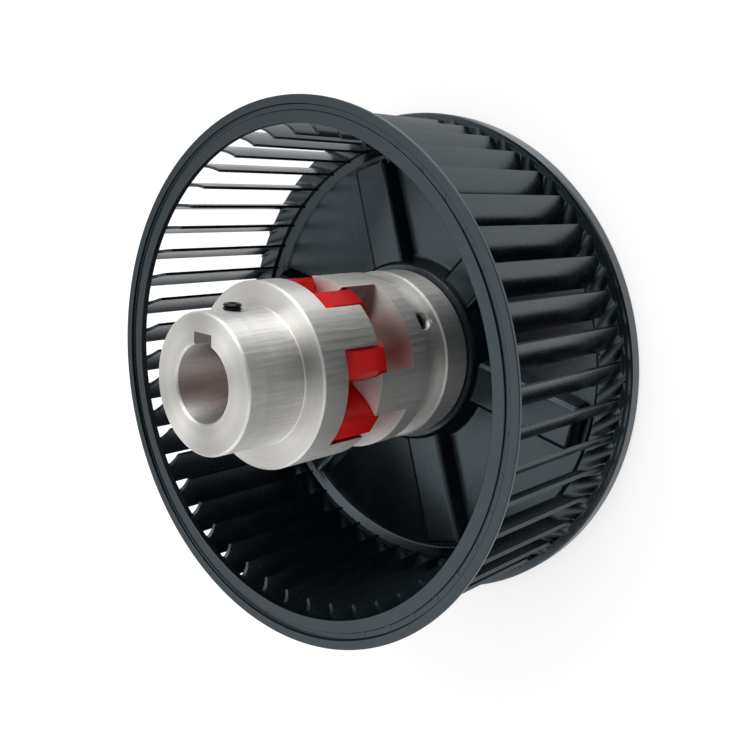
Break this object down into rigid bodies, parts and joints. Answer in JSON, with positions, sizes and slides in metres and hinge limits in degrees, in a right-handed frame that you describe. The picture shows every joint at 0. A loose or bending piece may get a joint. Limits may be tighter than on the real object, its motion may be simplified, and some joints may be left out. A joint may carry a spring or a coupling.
{
  "type": "centrifugal blower wheel with jaw coupling",
  "caption": "Drum-shaped blower wheel of forward-curved blades moulded on a turned hub, with a jaw coupling: an elastic star and a loose second hub, each hub with a keyed bore and set screw.",
  "frame": {"origin": "on the shaft axis at the back face of the wheel", "axes": "+Z along the shaft axis from the closed back of the wheel to the coupling, +X and +Y across it as the picture shows right and up"},
  "size_m": [0.175, 0.175, 0.1025],
  "materials": {
    "black_nylon": "satin",
    "turned_aluminium": "turned",
    "red_elastomer": "gloss",
    "black_steel": "black oxide"
  },
  "bodies": {
    "wheel": {"fan_wheel": "black_nylon", "rear_coupling_half": "turned_aluminium", "rear_set_screw": "black_steel"},
    "star": {"coupling_star": "red_elastomer"},
    "front_hub": {"front_coupling_half": "turned_aluminium", "front_set_screw": "black_steel"}
  },
  "joints": [
    {"name": "star_slide", "type": "slide", "parent": "wheel", "child": "star", "axis": [0, 0, 1], "range_m": [-0.0113, 0.012]},
    {"name": "front_hub_slide", "type": "slide", "parent": "star", "child": "front_hub", "axis": [0, 0, 1], "range_m": [0, 0.022]}
  ]
}
